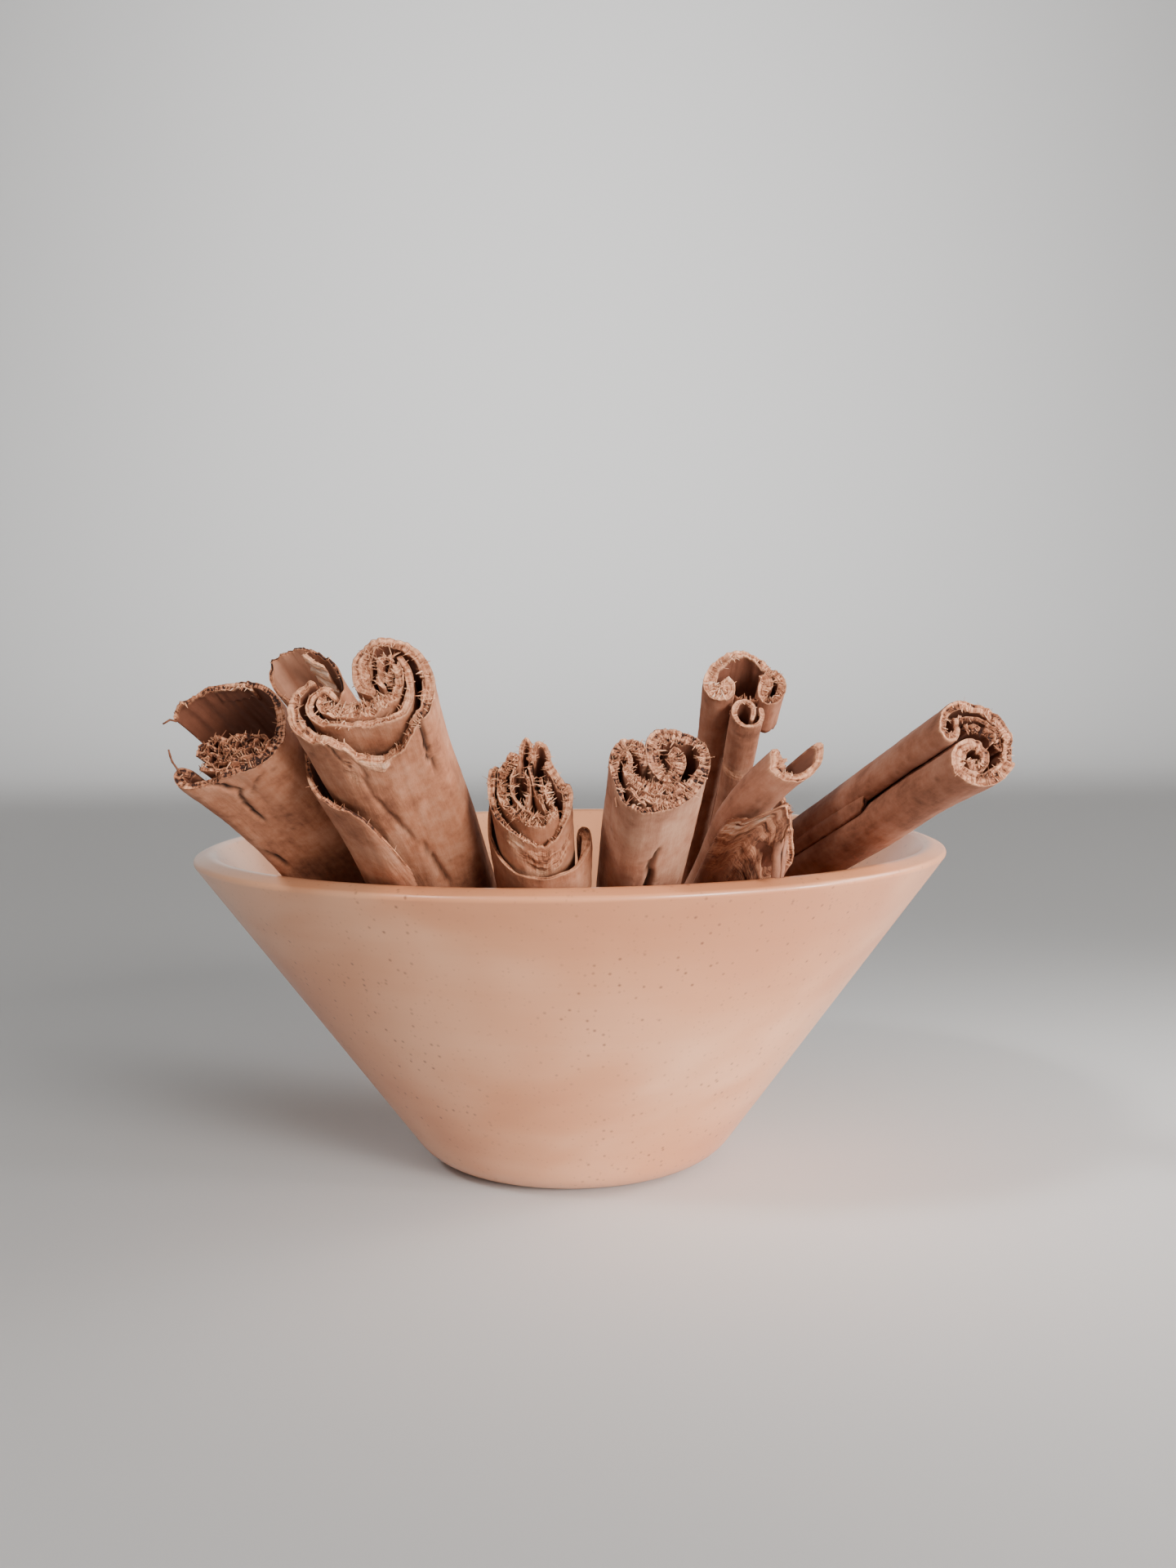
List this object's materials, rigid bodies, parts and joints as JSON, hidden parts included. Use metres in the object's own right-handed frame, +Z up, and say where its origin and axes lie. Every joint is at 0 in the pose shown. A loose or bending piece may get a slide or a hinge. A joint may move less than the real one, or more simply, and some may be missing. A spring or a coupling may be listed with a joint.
{
  "type": "cinnamon sticks in a bowl",
  "caption": "Rolled cinnamon quills of uneven width with torn ends, leaning over the front rim of a small conical turned wooden bowl.",
  "frame": {"origin": "centre of the bowl's flat foot, on the surface it stands on", "axes": "+Z up the bowl's axis, -Y towards the side of the rim that the quills lean over, X across"},
  "size_m": [0.1198, 0.1307, 0.0844],
  "materials": {
    "bowl_wood": "satin polished pale wood with fine dark pores",
    "cinnamon_bark": "dry matte bark, fibrous where it is torn"
  },
  "bodies": {
    "root": {"bowl": "bowl_wood", "quill_flared": "cinnamon_bark", "quill_flared_core": "cinnamon_bark", "quill_split": "cinnamon_bark", "quill_wide": "cinnamon_bark", "quill_wide_core": "cinnamon_bark", "quill_wide_wrap": "cinnamon_bark", "quill_upright": "cinnamon_bark", "quill_upright_core": "cinnamon_bark", "quill_heart": "cinnamon_bark", "quill_flat": "cinnamon_bark", "quill_thin": "cinnamon_bark", "quill_broken": "cinnamon_bark", "quill_broken_belly": "cinnamon_bark", "quill_broken_core": "cinnamon_bark", "quill_leaning": "cinnamon_bark"}
  },
  "joints": []
}
